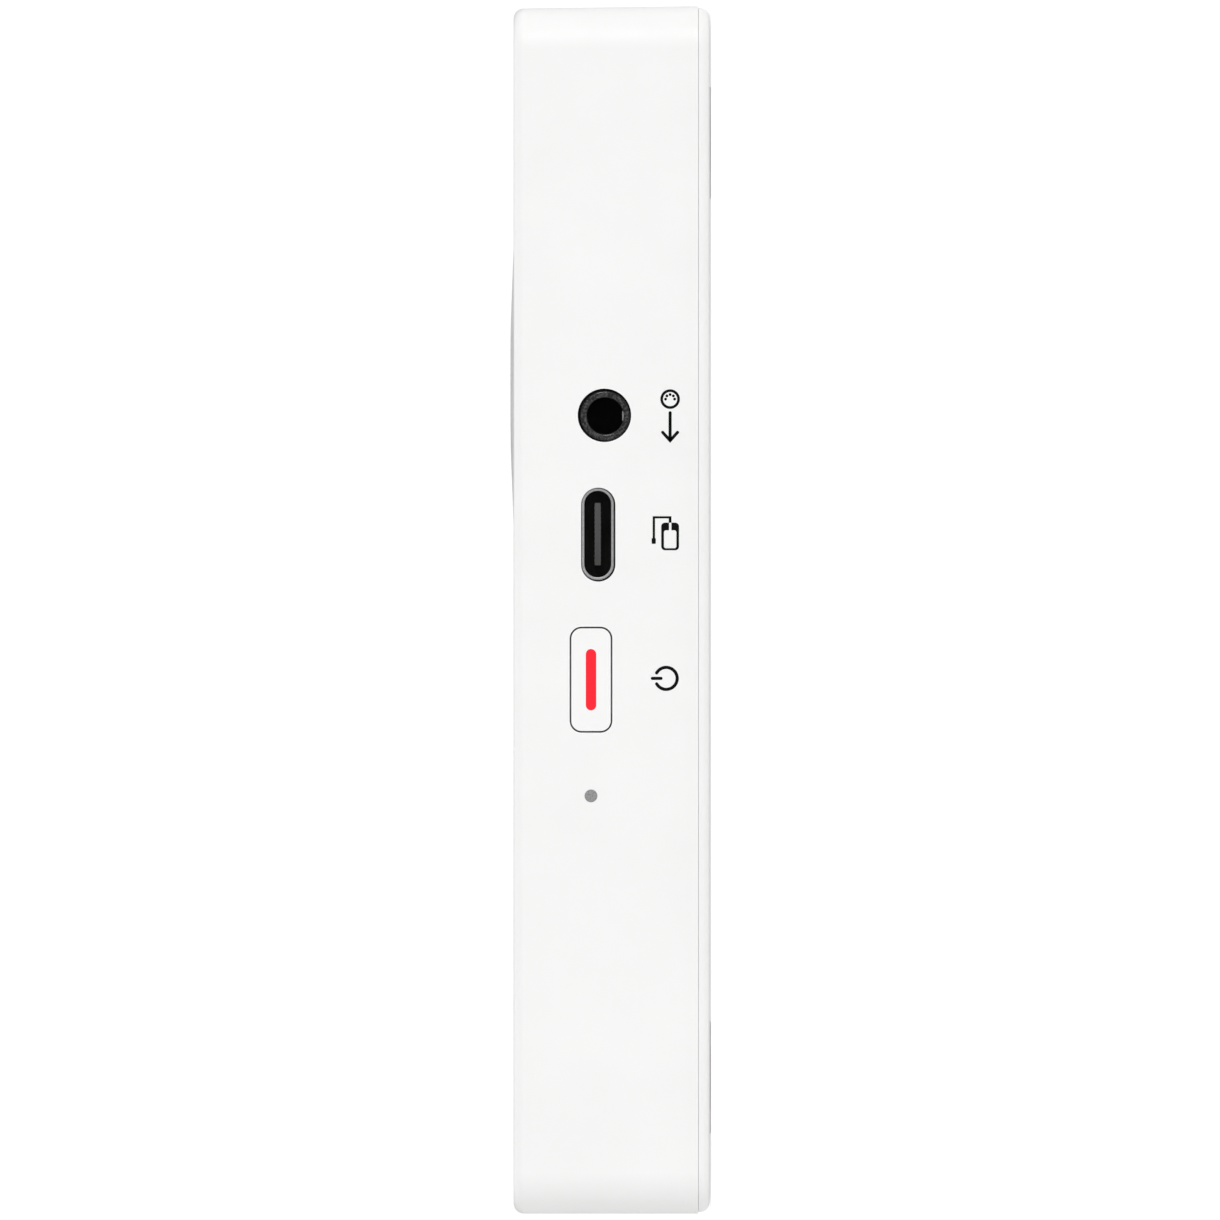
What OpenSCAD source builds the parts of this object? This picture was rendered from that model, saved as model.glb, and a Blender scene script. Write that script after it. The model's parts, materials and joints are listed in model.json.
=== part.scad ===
// Slim two-octave MIDI keyboard. Millimetres, +Z up, +X to the player's right, +Y to the rear.
// The origin is on the table, under the middle of the case.

/* [Case] */
// Depth of the case, front to rear
case_d = 117; // [113:1:145]
// Height of the case without its feet
case_h = 19; // [18.5:0.5:24]
// Width of the control zone left of the keys
control_w = 46; // [45:1:60]
// Width of the margin right of the keys
end_margin = 6.5; // [5.5:0.5:20]
// Thickness of the side walls
wall = 2; // [1.6:0.1:2.6]
// Thickness of the deck
deck_t = 1.8; // [1.4:0.1:2]
// Radius of the four vertical corners
corner_r = 4; // [3.5:0.1:6]
// Radius along the top and bottom edges
edge_r = 1; // [0.4:0.1:1.4]
// How far the front face leans in from the seam to the deck
front_draft = 0.2; // [0:0.05:0.5]
// Height of the sill under the key fronts, above the underside
sill_h = 7.6; // [7.2:0.1:8.2]

/* [Bottom cover] */
// Visible edge of the bottom cover, under the seam
rim_t = 1.1; // [0.9:0.1:1.3]
// Full thickness of the bottom cover inside the walls
cover_t = 2; // [1.9:0.1:2.2]
// Step between the shell's outline and the cover's
seam_step = 0.15; // [0.05:0.05:0.4]
// Gap of the seam between the shell and the cover
seam_gap = 0.02; // [0:0.02:0.3]
// Diameter of a foot
foot_d = 11; // [8:0.5:14]
// How far a foot stands out of the underside
foot_proud = 0.15; // [0.1:0.05:1]

/* [Keys] */
// Distance between neighbouring white keys
key_pitch = 20.5; // [19:0.1:25]
// Gap between neighbouring keys
key_gap = 0.8; // [0.6:0.05:1.2]
// Visible length of a white key
key_length = 80; // [67:1:84]
// How far the white key tops lie under the deck
white_drop = 3; // [2.8:0.1:3.4]
// Width of a black key at its foot
black_w = 9.6; // [8.5:0.1:10.5]
// Visible length of a black key
black_length = 48; // [44:1:52]
// Travel of a white key at its front edge
key_travel = 3; // [2:0.1:3.1]
// Radius of the rod that the keys turn on
rod_r = 1.5; // [1.2:0.1:1.8]
// Radial clearance of a key on the rod
rod_clearance = 0.05; // [0.02:0.01:0.1]

/* [Left side panel] */
// Jack, from the front face to its centre
jack_from_front = 39.65; // [36:0.05:42]
// Jack, height of its centre over the underside
jack_h = 10.2; // [10:0.1:10.6]
// Diameter of the jack's hole
jack_bore_d = 3.6; // [3.5:0.05:3.8]
// Diameter of the jack's round nose
jack_nose_d = 4.8; // [4.6:0.05:5.2]
// USB-C socket, from the front face to its centre
usb_from_front = 51.2; // [50:0.1:53]
// USB-C socket, height of its centre over the underside
usb_h = 10.8; // [10.7:0.1:11.2]
// Power button, from the front face to its centre
power_from_front = 65.25; // [64:0.05:68]
// Power button, height of its centre over the underside
power_h = 11.5; // [11.2:0.1:11.8]
// Travel of the power button
power_travel = 0.4; // [0.2:0.05:0.5]
// Status light, from the front face to its centre
led_from_front = 76.5; // [75:0.1:80]

/* [Deck controls] */
// Diameter of the round pad
pad_d = 33.8; // [30:0.1:35]
// Round pad, from the front face to its centre
pad_from_front = 36.7; // [34:0.1:40]
// How far the pad's middle stands over the deck
pad_rise = 0.35; // [0.1:0.05:0.8]
// Travel of the round pad
pad_travel = 0.5; // [0.2:0.05:0.6]
// Travel of the deck buttons
button_travel = 0.4; // [0.2:0.05:0.45]

/* [Hidden] */
$fn = 64;
post_fn = 32;
eps = 0.01;
through = 1;

white_count = 15;
key_count = 25;
octave = 12;

// Overall width and the case's outer planes
case_w = control_w + white_count * key_pitch + end_margin;
x_left = -case_w / 2;
x_right = case_w / 2;
y_front = -case_d / 2;
y_rear = case_d / 2;

// Levels, from the table up
z_under = foot_proud;
z_seam = z_under + rim_t;
z_floor = z_under + cover_t;
z_sill = z_under + sill_h;
z_top = z_under + case_h;
z_deck = z_top - deck_t;
z_white = z_top - white_drop;
black_drop = 0.1;
z_black = z_top - black_drop;

// Key well
well_gap = 0.4;
key_inset = 0.5;
x_keys = x_left + control_w;
x_keys_end = x_keys + white_count * key_pitch;
y_keys = y_front + key_inset;
y_well = y_keys + key_length;
cheek_t = 1.5;
lip_t = 1.5;
lip_gap = 0.7;

// Hinge line of the keys
hinge_from_rear = 20;
hinge_h = 9;
y_hinge = y_rear - hinge_from_rear;
z_hinge = z_under + hinge_h;
hinge_boss_wall = 1.9;
hinge_boss_r = rod_r + hinge_boss_wall;
key_reach = y_hinge - y_keys;
key_angle = asin(key_travel / key_reach);

// Key sections
plate_t = 2;
skirt_t = 1.3;
lip_play = 0.4;
z_lip = z_sill + key_travel + lip_play;
under_deck = 1;
stem_w = 5.5;
stem_drop = 0.5;
z_stem = z_hinge - stem_drop;
tail = 8;
black_front = y_well - black_length;
black_end_gap = 0.6;
black_taper = 0.9;
black_slope = 5;
black_lift = 0.5;
black_chin = 3;
black_chin_lean = 0.4;
z_black_low = z_lip + black_lift;
stop_play = 0.1;
rest_play = 0.05;
rest_top = z_stem - rest_play;

// Stops, domes and boards under the keys
frame_t = 1.5;
frame_side = 0.5;
z_frame = z_floor + frame_t;
frame_setback = 10;
frame_overhang = 2;
frame_front = y_front + frame_setback;
frame_rear = y_hinge + tail + frame_overhang;
felt_t = 1;
felt_w = 5;
rib_t = 2;
rib_wall = 2;
rib_r = rod_r + rib_wall;
rib_fit = 0.02;
rod_overhang = 1;
white_stop_setback = 15;
black_stop_setback = 6;
white_stop = y_keys + white_stop_setback;
black_stop = black_front + black_stop_setback;
rest_w = 4;
rest_stop = y_hinge + tail - rest_w / 2;
dome_setback = 22;
y_dome = y_well - dome_setback;
contact_t = 1.2;
contact_w = 17;
contact_inset = 1;
contact_left = x_keys + contact_inset;
contact_right = x_keys_end - contact_inset;
z_contact_top = z_frame + contact_t;
dome_sheet_t = 0.4;
dome_sheet_w = 9;
dome_sheet_inset = 1;
z_sheet_top = z_contact_top + dome_sheet_t;
dome_h = 1.1;
dome_r = 3.2;
dome_top_r = 2;
dome_play = 0.15;
plunger_r = 1.8;

// Boards in the control zone
main_t = 1.6;
main_h = 7.5;
z_main = z_under + main_h;
z_main_top = z_main + main_t;
panel_t = 1;
panel_drop = 4.8;
z_panel = z_top - panel_drop;
z_panel_top = z_panel + panel_t;
main_edge_gap = 1.5;
main_well_gap = 4.5;
main_front_gap = 12;
main_rear_gap = 14;
main_left = x_left + wall + main_edge_gap;
main_right = x_keys - main_well_gap;
main_front = y_front + main_front_gap;
main_rear = y_rear - main_rear_gap;
post_d = 5;

// Screws
screw_inset_x = 8;
screw_inset_y = 6;
boss_d = 6;
boss_foot_h = 3;
boss_drop = 0.4;
z_boss = z_under + boss_foot_h;
z_boss_low = z_sill - boss_drop;
pilot_skin = 0.5;
pilot_d = 2.5;
shank_d = 2.4;
shank_end = 6.5;
head_d = 4.6;
head_h = 1.2;
head_sink = 0.4;
head_play = 0.2;
hole_d = 2.9;
// Cross recess, as shares of the head
cross_length = 0.55;
cross_width = 0.15;
cross_depth = 0.6;
board_screw_d = 1.9;
board_head_d = 3.6;
board_head_h = 1;
board_pilot_d = 2;
board_hole_d = 2.2;
board_screw_end = 3.2;
panel_screw_end = 0.5;
panel_pilot_skin = 0.3;

key_zone = white_count * key_pitch;
screw_xs = [
    x_left + screw_inset_x,
    x_keys + key_zone / 3,
    x_keys_end - key_zone / 3,
    x_right - screw_inset_x,
];
screw_ys = [y_front + screw_inset_y, y_rear - screw_inset_y];
post_inset = 3.5;
post_xs = [main_left + post_inset, main_right - post_inset];
post_ys = [main_front + post_inset, main_rear - post_inset];

// Feet, and the battery in its fence
foot_inset = [22, 13];
foot_recess = 0.85;
foot_fit = 0.1;
foot_edge = 0.1;
cover_play = 0.2;
fence_t = 1.2;
fence_h = 2.5;
fence_play = 0.5;
battery_size = [32, 58, 4.4];
battery_r = 1.5;
battery_x = (main_left + main_right) / 2;
battery_y = (main_front + main_rear) / 2;
tape_t = 0.3;
tape_inset = [4, 6];

// Left panel features
jack_y = y_front + jack_from_front;
jack_z = z_under + jack_h;
jack_gap = 0.19;
// How far the jack sits off the middle of its opening, to the rear and up
jack_off = [0.05, -0.07];
jack_axis_y = jack_y + jack_off[0];
jack_axis_z = jack_z + jack_off[1];
jack_sink = 0.35;
jack_body = [12.5, 6.2, 5];
jack_depth = 14;
jack_leaf_t = 0.3;
jack_leaf_off = 0.45;
jack_leaf_h = 0.9;
jack_leg = 0.6;
jack_slot_play = 0.1;
jack_notch = 1.2;
jack_wall_gap = 0.1;
jack_face = x_left + wall + jack_wall_gap;
jack_rear = jack_face + jack_body.x;

// Contact leaves beside the jack's bore: start, offset from the bore's axis, length
JACK_LEAVES = [
    [jack_face + 1.5, jack_bore_d / 2 + jack_leaf_off, 2.6],
    [jack_face + 5.5, -jack_bore_d / 2 - jack_leaf_off, 2.6],
    [jack_face + 9, jack_bore_d / 2 + jack_leaf_off, 2.2],
];

usb_y = y_front + usb_from_front;
usb_z = z_under + usb_h;
usb_size = [8.94, 3.16];
usb_gap = 0.08;
// How far the socket sits off the middle of its opening, to the rear and up
usb_off = [-0.05, 0.05];
socket_y = usb_y + usb_off[0];
socket_z = usb_z + usb_off[1];
usb_wall = 0.3;
usb_length = 7.4;
usb_sink = 0.25;
usb_core_t = 1.4;
usb_core_fit = 0.02;
tongue = [5, 6.05, 0.6];
power_y = y_front + power_from_front;
power_z = z_under + power_h;
power_size = [9.94, 3.82];
power_r = 1;
power_gap = 0.16;
power_flange = 0.7;
power_flange_t = 0.8;
power_wall_gap = 0.2;
power_inside = x_left + wall + power_wall_gap;
power_back = power_inside + power_flange_t;
power_stem = 1.6;
power_stem_size = [2.4, 1.4];
bar_size = [5.93, 1];
bar_t = 0.5;
led_y = y_front + led_from_front;
led_z = power_z;
led_d = 1.2;
led_gap = 0.02;
led_reach = 3.5;
led_bend = x_left + wall + led_reach;
switch_play = 0.1;

// Deck controls
pad_x = x_left + control_w / 2;
pad_y = y_front + pad_from_front;
pad_gap = 0.2;
pad_flange = 1.3;
pad_flange_t = 0.9;
pad_flange_play = 0.2;
pad_low = z_deck - pad_flange_play - pad_flange_t;
pad_flat_d = 17.4;
pad_board_t = 1;
pad_board_drop = 5.4;
z_pad_board = z_top - pad_board_drop;
pad_ring_r = 11;
pad_ring_w = 2;
button_gap = 0.15;
button_r = 1.2;
button_flange = 0.6;
button_flange_t = 0.8;
button_flange_play = 0.2;
button_low = z_deck - button_flange_play - button_flange_t;
deck_button = [15, 8];
octave_button = [12, 8];
pad_to_octaves = 22;
octaves_to_lights = 10;
octave_row = pad_y + pad_d / 2 + pad_to_octaves;
strip_row = (y_well + y_rear) / 2;
light_d = 1.6;
light_row = octave_row + octaves_to_lights;
light_step = 6;
light_count = 5;
octave_offset = 9;
strip_inset = 12;
strip_first = x_keys + strip_inset;
strip_step = 22;
strip_last = strip_first + 3 * strip_step;

// Panel board, and the posts that hold it under the deck
post_in = 2.5;
panel_inset = 1;
panel_left = main_left + panel_inset;
panel_front_gap = 11;
panel_front = octave_row - panel_front_gap;
panel_split_gap = 4;
panel_split = y_well + panel_split_gap;
panel_rear_gap = 12;
panel_rear = y_rear - panel_rear_gap;
panel_right = strip_last + strip_step / 2;
panel_tab = 2;
panel_tab_post = 1;
panel_wide = main_right + panel_tab;
panel_posts = [
    [panel_left + post_in, panel_front + post_in],
    [panel_wide - post_in - panel_tab_post, panel_front + post_in],
    [panel_left + post_in, panel_rear - post_in],
    [strip_first + strip_step / 2, strip_row],
    [strip_last - strip_step / 2, strip_row],
];

// Posts and pins that hold the pad's board
pad_post_gap = 3.4;
pad_post_r = pad_d / 2 + pad_post_gap;
pad_post_d = 3.6;
pad_pin_d = 1.5;
pad_pin_out = 0.5;
pad_post_angles = [45, 135, 225, 315];

// Deck buttons: node, centre x, centre y, size
BUTTONS = [
    ["octave_down_button", pad_x - octave_offset, octave_row, octave_button],
    ["octave_up_button", pad_x + octave_offset, octave_row, octave_button],
    ["arp_button", strip_first, strip_row, deck_button],
    ["hold_button", strip_first + strip_step, strip_row, deck_button],
    ["play_button", strip_first + 2 * strip_step, strip_row, deck_button],
    ["record_button", strip_last, strip_row, deck_button],
];

// Keyboard layout: one entry per semitone of the octave
WHITE_BEFORE = [0, 1, 1, 2, 2, 3, 4, 4, 5, 5, 6, 6];
IS_BLACK = [0, 1, 0, 1, 0, 0, 1, 0, 1, 0, 1, 0];
BLACK_SHIFT = [0, -0.10, 0, 0.10, 0, 0, -0.13, 0, 0, 0, 0.13, 0];
WHITES_PER_OCTAVE = 7;

function in_octave(s) = s % octave;
function whites_before(s) = floor(s / octave) * WHITES_PER_OCTAVE + WHITE_BEFORE[in_octave(s)];
function black(s) = s >= 0 && s < key_count && IS_BLACK[in_octave(s)] == 1;
function cell_left(s) = x_keys + whites_before(s) * key_pitch;
function black_x(s) = cell_left(s) + BLACK_SHIFT[in_octave(s)] * key_pitch;
function neck_left(s) =
    black(s - 1) ? black_x(s - 1) + black_w / 2 + key_gap : cell_left(s) + key_gap / 2;
function neck_right(s) =
    black(s + 1) ? black_x(s + 1) - black_w / 2 - key_gap : cell_left(s) + key_pitch - key_gap / 2;
function stem_x(s) = black(s) ? black_x(s) : (neck_left(s) + neck_right(s)) / 2;
function two_digits(n) = n < 10 ? str("0", n) : str(n);
function blacks_up_to(s) = len([for (i = [0:s]) if (black(i)) i]);
function key_name(s) =
    black(s)
        ? str("black_key_", two_digits(blacks_up_to(s)))
        : str("white_key_", two_digits(s + 1 - blacks_up_to(s)));
function drop_at(y) = (y_hinge - y) * sin(key_angle);
function felt_top(y) = z_stem - drop_at(y) - stop_play;

// ---- Shared shapes ----

// A box given by its lowest and highest corners
module span(low, high) {
    translate(low) cube(high - low);
}

// A flat rectangle with rounded corners, centred, made of squares and circles
module round_rect(size, r) {
    square([size.x - 2 * r, size.y], center = true);
    square([size.x, size.y - 2 * r], center = true);
    for (sx = [-1, 1], sy = [-1, 1])
        translate([sx * (size.x / 2 - r), sy * (size.y / 2 - r)]) circle(r = r);
}

// A slot with full-round ends, centred
module round_slot(size) {
    square([size.x - size.y, size.y], center = true);
    for (side = [-1, 1])
        translate([side * (size.x - size.y) / 2, 0]) circle(d = size.y);
}

// Stands a flat shape up in the left wall: its x runs to the rear, its y up, and it grows to +X
module from_left(x, y, z, depth) {
    translate([x, y, z]) rotate([90, 0, 90]) linear_extrude(depth) children();
}

// A corner post of the case: straight, with one edge rounded
module corner_post(x, y, r, low, high, round_top) {
    h = high - low;
    translate([x, y, low]) rotate_extrude($fn = post_fn) intersection() {
        square([r, h]);
        union() {
            translate([0, round_top ? 0 : edge_r]) square([r, h - edge_r]);
            square([r - edge_r, h]);
            translate([r - edge_r, round_top ? h - edge_r : edge_r]) circle(r = edge_r, $fn = post_fn);
        }
    }
}

// The closed outside of the shell, or of the cover's rim
module case_block(low, high, inset, round_top) {
    r = corner_r - inset;
    lean = round_top ? front_draft : 0;
    hull() for (sx = [-1, 1]) {
        x = sx * (case_w / 2 - corner_r);
        corner_post(x, y_rear - corner_r, r, low, high, round_top);
        corner_post(x, y_front + corner_r + lean, r, low, high, round_top);
        if (round_top) translate([x, y_front + corner_r, low]) cylinder(r = r, h = edge_r, $fn = post_fn);
    }
}

module at_screws() {
    for (x = screw_xs, y = screw_ys) translate([x, y, 0]) children();
}

module at_posts() {
    for (x = post_xs, y = post_ys) translate([x, y, 0]) children();
}

module at_panel_posts() {
    for (p = panel_posts) translate([p.x, p.y, 0]) children();
}

module at_pad_posts() {
    for (a = pad_post_angles)
        translate([pad_x + pad_post_r * cos(a), pad_y + pad_post_r * sin(a), 0]) children();
}

// ---- Casing ----

module deck_openings() {
    cut = deck_t + 2 * through;
    translate([pad_x, pad_y, z_deck - through]) cylinder(d = pad_d + 2 * pad_gap, h = cut);
    for (b = BUTTONS)
        translate([b[1], b[2], z_deck - through]) linear_extrude(cut)
            round_rect(b[3] + [2, 2] * button_gap, button_r + button_gap);
    at_lights() translate([0, 0, z_deck - through]) cylinder(d = light_d + 2 * led_gap, h = cut);
}

module panel_openings() {
    cut = wall + 2 * through;
    from_left(x_left - through, jack_y, jack_z, cut) circle(d = jack_nose_d + 2 * jack_gap);
    from_left(x_left - through, usb_y, usb_z, cut) round_slot(usb_size + [2, 2] * usb_gap);
    from_left(x_left - through, power_y, power_z, cut)
        round_rect(power_size + [2, 2] * power_gap, power_r + power_gap);
    from_left(x_left - through, led_y, led_z, cut) circle(d = led_d + 2 * led_gap);
}

module key_well() {
    span([x_keys - well_gap, y_front - through, z_sill], [x_keys_end + well_gap, y_well, z_top + through]);
}

module cavity() {
    inner = [case_w - 2 * wall, case_d - 2 * wall];
    translate([0, 0, z_seam - through]) linear_extrude(z_deck - z_seam + through)
        round_rect(inner, corner_r - wall);
}

module shell_walls() {
    well_left = x_keys - well_gap;
    well_right = x_keys_end + well_gap;
    y_in = y_front + wall - eps;
    for (x = [well_left - cheek_t, well_right])
        span([x, y_in, z_sill], [x + cheek_t, y_well + lip_t, z_deck + eps]);
    span([well_left - cheek_t, y_well, z_white + lip_gap],
        [well_right + cheek_t, y_well + lip_t, z_deck + eps]);
}

module shell_bosses() {
    for (x = screw_xs) {
        translate([x, screw_ys[0], z_boss]) cylinder(d = boss_d, h = z_boss_low - z_boss);
        span([x - rib_t / 2, y_front + wall - eps, z_boss], [x + rib_t / 2, screw_ys[0], z_boss_low]);
        translate([x, screw_ys[1], z_boss]) cylinder(d = boss_d, h = z_deck - z_boss + eps);
    }
    at_panel_posts() translate([0, 0, z_panel_top]) cylinder(d = post_d, h = z_deck - z_panel_top + eps);
    at_pad_posts() {
        translate([0, 0, z_pad_board + pad_board_t])
            cylinder(d = pad_post_d, h = z_deck - z_pad_board - pad_board_t + eps);
        translate([0, 0, z_pad_board - pad_pin_out])
            cylinder(d = pad_pin_d, h = pad_board_t + pad_pin_out + eps);
    }
}

module shell_pilots() {
    at_screws() translate([0, 0, z_boss - through])
        cylinder(d = pilot_d, h = z_boss_low - z_boss + through - pilot_skin);
    pilot = z_deck - z_panel_top - panel_pilot_skin;
    at_panel_posts() translate([0, 0, z_panel_top - through])
        cylinder(d = board_pilot_d, h = pilot + through);
}

module top_shell() {
    color("white") difference() {
        union() {
            difference() {
                case_block(z_seam + seam_gap, z_top, 0, true);
                cavity();
                key_well();
            }
            shell_walls();
            shell_bosses();
        }
        deck_openings();
        panel_openings();
        shell_pilots();
    }
}

module at_feet() {
    for (sx = [-1, 1], sy = [-1, 1])
        translate([sx * (case_w / 2 - foot_inset.x), sy * (case_d / 2 - foot_inset.y), 0]) children();
}

module bottom_cover() {
    inner = [case_w - 2 * (wall + cover_play), case_d - 2 * (wall + cover_play)];
    head_well = head_h + head_sink;
    fence = [battery_size.x, battery_size.y] + [2, 2] * fence_play;
    color("whitesmoke") difference() {
        union() {
            case_block(z_under, z_seam, seam_step, false);
            translate([0, 0, z_seam - eps]) linear_extrude(z_floor - z_seam + eps)
                round_rect(inner, corner_r - wall - cover_play);
            at_screws() translate([0, 0, z_floor - eps]) cylinder(d = boss_d, h = z_boss - z_floor + eps);
            at_posts() translate([0, 0, z_floor - eps]) cylinder(d = post_d, h = z_main - z_floor + eps);
            translate([battery_x, battery_y, z_floor - eps]) linear_extrude(fence_h) difference() {
                square(fence + [2, 2] * fence_t, center = true);
                square(fence, center = true);
            }
        }
        at_screws() translate([0, 0, z_under - through]) {
            cylinder(d = head_d + 2 * head_play, h = head_well + through);
            cylinder(d = hole_d, h = z_boss + 2 * through);
        }
        at_posts() translate([0, 0, z_floor + pilot_skin]) cylinder(d = board_pilot_d, h = z_main - z_floor);
        at_feet() translate([0, 0, z_under - through])
            cylinder(d = foot_d + 2 * foot_fit, h = foot_recess + through);
    }
}

module rubber_feet() {
    color("dimgray") at_feet() {
        cylinder(d1 = foot_d - 2 * foot_edge, d2 = foot_d, h = foot_edge);
        translate([0, 0, foot_edge]) cylinder(d = foot_d, h = z_under + foot_recess - foot_edge);
    }
}

// A screw pointing up from z = 0, with a cross recess in its head
module screw(head, head_height, shank, length) {
    recess = [head * cross_length, head * cross_width, head_height * cross_depth];
    difference() {
        union() {
            cylinder(d = head, h = head_height);
            cylinder(d = shank, h = head_height + length);
        }
        for (a = [0, 90])
            rotate(a) translate([0, 0, recess.z / 2 - eps]) cube(recess + [0, 0, eps], center = true);
    }
}

module case_screws() {
    color("silver") at_screws() translate([0, 0, z_under + head_sink])
        screw(head_d, head_h, shank_d, shank_end - head_h - head_sink);
}

// ---- Key bed ----

module key_frame() {
    left = x_keys + frame_side;
    right = x_keys_end - frame_side;
    stems = [for (s = [0:key_count - 1]) stem_x(s)];
    ribs = [
        left + rib_t / 2,
        for (i = [0:key_count - 2]) (stems[i] + stems[i + 1]) / 2,
        right - rib_t / 2,
    ];
    color("lightgray") difference() {
        union() {
            span([left, frame_front, z_floor], [right, frame_rear, z_frame]);
            for (y = [white_stop, black_stop])
                span([left, y - felt_w / 2, z_frame - eps], [right, y + felt_w / 2, felt_top(y) - felt_t]);
            span([left, rest_stop - rest_w / 2, z_frame - eps],
                [right, rest_stop + rest_w / 2, rest_top - felt_t]);
            for (x = ribs) {
                span([x - rib_t / 2, y_hinge - rib_r, z_frame - eps],
                    [x + rib_t / 2, y_hinge + rib_r, z_hinge]);
                translate([x - rib_t / 2, y_hinge, z_hinge]) rotate([0, 90, 0])
                    cylinder(r = rib_r, h = rib_t);
            }
        }
        translate([left - through, y_hinge, z_hinge]) rotate([0, 90, 0])
            cylinder(r = rod_r + rib_fit, h = right - left + 2 * through);
    }
}

module hinge_rod() {
    left = x_keys + frame_side - rod_overhang;
    right = x_keys_end - frame_side + rod_overhang;
    color("silver") translate([left, y_hinge, z_hinge]) rotate([0, 90, 0])
        cylinder(r = rod_r, h = right - left);
}

module stop_felts() {
    left = x_keys + frame_side;
    right = x_keys_end - frame_side;
    color("firebrick") {
        for (y = [white_stop, black_stop])
            span([left, y - felt_w / 2, felt_top(y) - felt_t], [right, y + felt_w / 2, felt_top(y)]);
        span([left, rest_stop - rest_w / 2, rest_top - felt_t], [right, rest_stop + rest_w / 2, rest_top]);
    }
}

module contact_board() {
    color("darkgreen") span([contact_left, y_dome - contact_w / 2, z_frame],
        [contact_right, y_dome + contact_w / 2, z_contact_top]);
}

module dome_strip() {
    color("gainsboro") {
        span([contact_left + dome_sheet_inset, y_dome - dome_sheet_w / 2, z_contact_top],
            [contact_right - dome_sheet_inset, y_dome + dome_sheet_w / 2, z_sheet_top]);
        for (s = [0:key_count - 1])
            translate([stem_x(s), y_dome, z_sheet_top - eps])
                cylinder(r1 = dome_r, r2 = dome_top_r, h = dome_h + eps);
    }
}

// ---- Keys ----

// Hinge arm of a key: rib, plunger over its dome, hinge boss and tail
module key_arm(s, front, rib_top) {
    x = stem_x(s);
    half = stem_w / 2;
    plunger_low = z_sheet_top + dome_h + drop_at(y_dome) + dome_play;
    span([x - half, front, z_stem], [x + half, y_well - black_end_gap, rib_top]);
    span([x - half, y_well - black_end_gap - eps, z_stem],
        [x + half, y_hinge + tail, z_hinge + hinge_boss_r]);
    translate([x, y_dome, plunger_low]) cylinder(r = plunger_r, h = z_stem - plunger_low + eps);
    translate([x - half, y_hinge, z_hinge]) rotate([0, 90, 0]) cylinder(r = hinge_boss_r, h = stem_w);
}

module rod_bore(s) {
    translate([stem_x(s) - stem_w / 2 - through, y_hinge, z_hinge]) rotate([0, 90, 0])
        cylinder(r = rod_r + rod_clearance, h = stem_w + 2 * through);
}

// Plan of a white key: a wide front and a neck between the black keys
module white_plan(s, inset) {
    x0 = cell_left(s) + key_gap / 2 + inset;
    x1 = cell_left(s) + key_pitch - key_gap / 2 - inset;
    n0 = neck_left(s) + inset;
    n1 = neck_right(s) - inset;
    front = y_keys + inset;
    shoulder = black_front - key_gap - inset;
    end = y_well + under_deck - inset;
    translate([x0, front]) square([x1 - x0, shoulder - front]);
    translate([n0, front]) square([n1 - n0, end - front]);
}

module white_key(s) {
    color("white") difference() {
        union() {
            difference() {
                translate([0, 0, z_lip]) linear_extrude(z_white - z_lip) white_plan(s, 0);
                translate([0, 0, z_lip - through]) linear_extrude(z_white - z_lip + through - plate_t)
                    white_plan(s, skirt_t);
            }
            key_arm(s, white_stop - felt_w / 2, z_white - plate_t + eps);
        }
        rod_bore(s);
    }
}

// A black key's body: sloping front, sides that lean in to a narrower top
module black_body(s, inset, low, high) {
    end = y_well - black_end_gap - inset;
    front = black_front + inset;
    half = black_w / 2 - inset;
    height = high - low;
    chin = height - black_chin;
    intersection() {
        translate([black_x(s) - black_w, 0, low]) rotate([90, 0, 90]) linear_extrude(2 * black_w)
            polygon([
                [front, 0],
                [end, 0],
                [end, height],
                [front + black_slope, height],
                [front + black_chin_lean, chin],
            ]);
        translate([black_x(s), end, low]) rotate([90, 0, 0]) linear_extrude(end - front)
            polygon([[-half, 0], [half, 0], [half - black_taper, height], [-half + black_taper, height]]);
    }
}

module black_key(s) {
    color([0.1, 0.1, 0.1]) difference() {
        union() {
            difference() {
                black_body(s, 0, z_black_low, z_black);
                black_body(s, skirt_t, z_black_low - eps, z_black - plate_t);
            }
            key_arm(s, black_stop - felt_w / 2, z_black - plate_t + eps);
        }
        rod_bore(s);
    }
}

module key(s) {
    if (black(s)) black_key(s);
    else white_key(s);
}

// ---- Electronics ----

module main_board() {
    color("seagreen") difference() {
        span([main_left, main_front, z_main], [main_right, main_rear, z_main_top]);
        span([main_left - through, jack_axis_y - jack_body.y / 2 - jack_notch, z_main - through],
            [jack_rear + jack_notch, jack_axis_y + jack_body.y / 2 + jack_notch, z_main_top + through]);
        at_posts() translate([0, 0, z_main - through]) cylinder(d = board_hole_d, h = main_t + 2 * through);
    }
}

module battery() {
    color("silver") translate([battery_x, battery_y, z_floor + tape_t]) linear_extrude(battery_size.z)
        round_rect([battery_size.x, battery_size.y], battery_r);
}

module battery_tape() {
    color("gold") translate([battery_x, battery_y, z_floor]) linear_extrude(tape_t)
        square([battery_size.x, battery_size.y] - 2 * tape_inset, center = true);
}

module board_screws() {
    color("silver") {
        at_posts() translate([0, 0, z_main_top + board_head_h]) mirror([0, 0, 1])
            screw(board_head_d, board_head_h, board_screw_d, main_t + board_screw_end);
        at_panel_posts() translate([0, 0, z_panel - board_head_h])
            screw(board_head_d, board_head_h, board_screw_d, z_deck - z_panel - panel_screw_end);
    }
}

module usb_c_shell() {
    inner = usb_size - [2, 2] * usb_wall;
    color("silver") from_left(x_left + usb_sink, socket_y, socket_z, usb_length) difference() {
        round_slot(usb_size);
        round_slot(inner);
    }
}

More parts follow.
